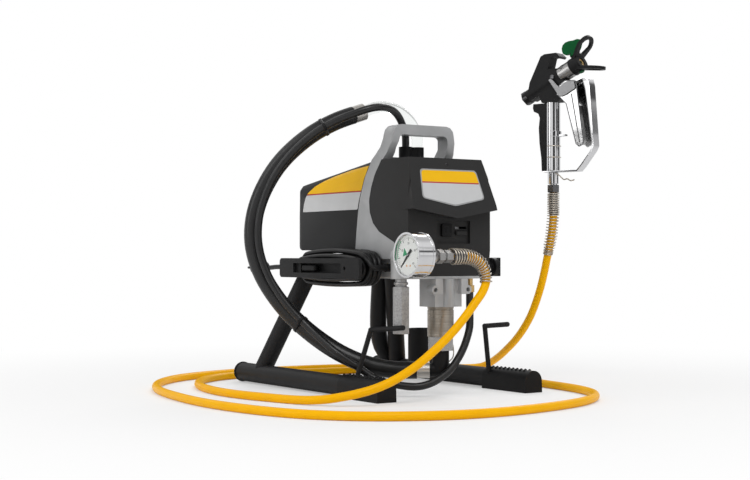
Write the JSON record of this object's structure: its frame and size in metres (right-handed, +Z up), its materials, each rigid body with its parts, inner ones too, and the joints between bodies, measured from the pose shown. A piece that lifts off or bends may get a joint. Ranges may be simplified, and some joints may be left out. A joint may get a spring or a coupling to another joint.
{
  "type": "airless paint sprayer",
  "caption": "Airless paint sprayer on a tube stand: motor and gearbox, piston pump with suction and return hoses, gauge, filter, wound cord, hose and spray gun.",
  "frame": {"origin": "on the floor under the middle of the rigid pieces' bounding box", "axes": "+Z up, -Y the front with the pump, +X the machine's right with the spray gun"},
  "size_m": [0.719, 0.8039, 0.5873],
  "materials": {
    "frame_black": "semi-gloss black paint",
    "shroud_grey": "fine matte moulded",
    "cover_grey": "fine matte moulded",
    "moulded_black": "matte moulded",
    "casting_grey": "satin silver-grey paint on a casting",
    "pump_alloy": "machined and tumbled",
    "cast_alloy": "rough cast",
    "worked_steel": "brushed",
    "gear_steel": "ground",
    "bright_plate": "polished plating",
    "copper_red": "laminations with varnish",
    "cord_rubber": "dull",
    "hose_yellow": "glossy",
    "clear_plastic": "see-through",
    "key_green": "glossy",
    "needle_black": "glossy",
    "lens_glass": "clear"
  },
  "bodies": {
    "sprayer": {"left_rail": "frame_black", "right_rail": "frame_black", "left_leg": "frame_black", "right_leg": "frame_black", "rear_stay": "frame_black", "rail_end_plugs": "moulded_black", "left_foot": "moulded_black", "right_foot": "moulded_black", "frame_bridge": "frame_black", "pail_hooks": "frame_black", "drip_cup": "moulded_black", "screws": "worked_steel", "gear_housing": "casting_grey", "motor_shroud": "shroud_grey", "front_cover": "cover_grey", "hose_sockets": "moulded_black", "motor_can": "copper_red", "pump_block": "pump_alloy", "pump_cylinder": "worked_steel", "inlet_valve": "worked_steel", "inlet_elbow": "moulded_black", "strain_relief": "moulded_black", "suction_ferrule": "worked_steel", "relief_valve": "worked_steel", "return_fitting": "worked_steel", "suction_hose": "cord_rubber", "suction_strainer": "worked_steel", "return_hose": "cord_rubber", "clear_tube": "clear_plastic", "filter_housing": "cast_alloy", "outlet_tee": "bright_plate", "gauge_case": "bright_plate", "gauge_lens": "lens_glass", "pump_hose_spring": "worked_steel", "high_pressure_hose": "hose_yellow", "gun_hose_spring": "worked_steel", "gun_swivel": "bright_plate", "cord_bracket": "frame_black", "power_cord_hank": "cord_rubber", "power_cord_tail": "cord_rubber", "plug": "moulded_black"},
    "rotor": {"motor_rotor": "gear_steel", "cooling_fan": "moulded_black"},
    "crank": {"crank_gear": "gear_steel"},
    "piston": {"piston_yoke": "gear_steel", "piston_rod": "worked_steel"},
    "relief": {"relief_knob": "moulded_black"},
    "pressure": {"pressure_knob": "moulded_black"},
    "switch": {"power_switch": "moulded_black"},
    "oiler": {"oil_button": "moulded_black"},
    "needle": {"gauge_needle": "needle_black"},
    "gun": {"gun_body": "moulded_black", "handle_tube": "bright_plate", "gun_grip": "moulded_black", "trigger_guard": "worked_steel", "retainer_nut": "bright_plate"},
    "trigger": {"trigger": "bright_plate"},
    "lock": {"trigger_lock": "worked_steel"},
    "guard": {"tip_guard": "moulded_black"},
    "tip": {"spray_tip": "key_green"}
  },
  "joints": [
    {"name": "motor_spin", "type": "hinge", "parent": "sprayer", "child": "rotor", "pos_m": [-0.07276, 0.01175, 0.287], "axis": [0, 1, 0], "continuous": true},
    {"name": "crank_spin", "type": "hinge", "parent": "sprayer", "child": "crank", "pos_m": [-0.07276, -0.05825, 0.235], "axis": [0, 1, 0], "continuous": true},
    {"name": "piston_stroke", "type": "slide", "parent": "sprayer", "child": "piston", "axis": [0, 0, 1], "range_m": [-0.008, 0.008]},
    {"name": "relief_turn", "type": "hinge", "parent": "sprayer", "child": "relief", "pos_m": [0.01724, -0.14425, 0.201], "axis": [1, 0, 0], "range_deg": [0, 90]},
    {"name": "pressure_turn", "type": "hinge", "parent": "sprayer", "child": "pressure", "pos_m": [0.01724, -0.08625, 0.212], "axis": [1, 0, 0], "range_deg": [-135, 135]},
    {"name": "switch_rock", "type": "hinge", "parent": "sprayer", "child": "switch", "pos_m": [-0.00177, 0.05175, 0.3], "axis": [0, 1, 0], "range_deg": [0, 20]},
    {"name": "oil_press", "type": "slide", "parent": "sprayer", "child": "oiler", "axis": [0, 1, 0], "range_m": [0, 0.003], "stiffness_N_per_m": 400, "springref_m": -0.002},
    {"name": "gauge_sweep", "type": "hinge", "parent": "sprayer", "child": "needle", "pos_m": [-0.19876, -0.22125, 0.22], "axis": [1, 0, 0], "range_deg": [0, 270]},
    {"name": "gun_turn", "type": "hinge", "parent": "sprayer", "child": "gun", "pos_m": [0.19023, -0.10025, 0.363], "axis": [0, 0, 1], "continuous": true},
    {"name": "trigger_pull", "type": "hinge", "parent": "gun", "child": "trigger", "pos_m": [0.1974, -0.12524, 0.496], "axis": [0.9613, 0.2756, 0], "range_deg": [0, 15], "stiffness_Nm_per_rad": 0.8, "springref_deg": -20.05},
    {"name": "lock_turn", "type": "hinge", "parent": "gun", "child": "lock", "pos_m": [0.19023, -0.10025, 0.425], "axis": [0, 0, 1], "range_deg": [0, 30]},
    {"name": "guard_turn", "type": "hinge", "parent": "gun", "child": "guard", "pos_m": [0.20262, -0.14345, 0.53792], "axis": [0.2477, -0.864, 0.4384], "range_deg": [-90, 90]},
    {"name": "tip_turn", "type": "hinge", "parent": "guard", "child": "tip", "pos_m": [0.20411, -0.14863, 0.54055], "axis": [-0.1208, 0.4214, 0.8988], "range_deg": [0, 180]}
  ],
  "couplings": [
    {"joint": "crank_spin", "follows": "motor_spin", "ratio": -0.2381}
  ]
}
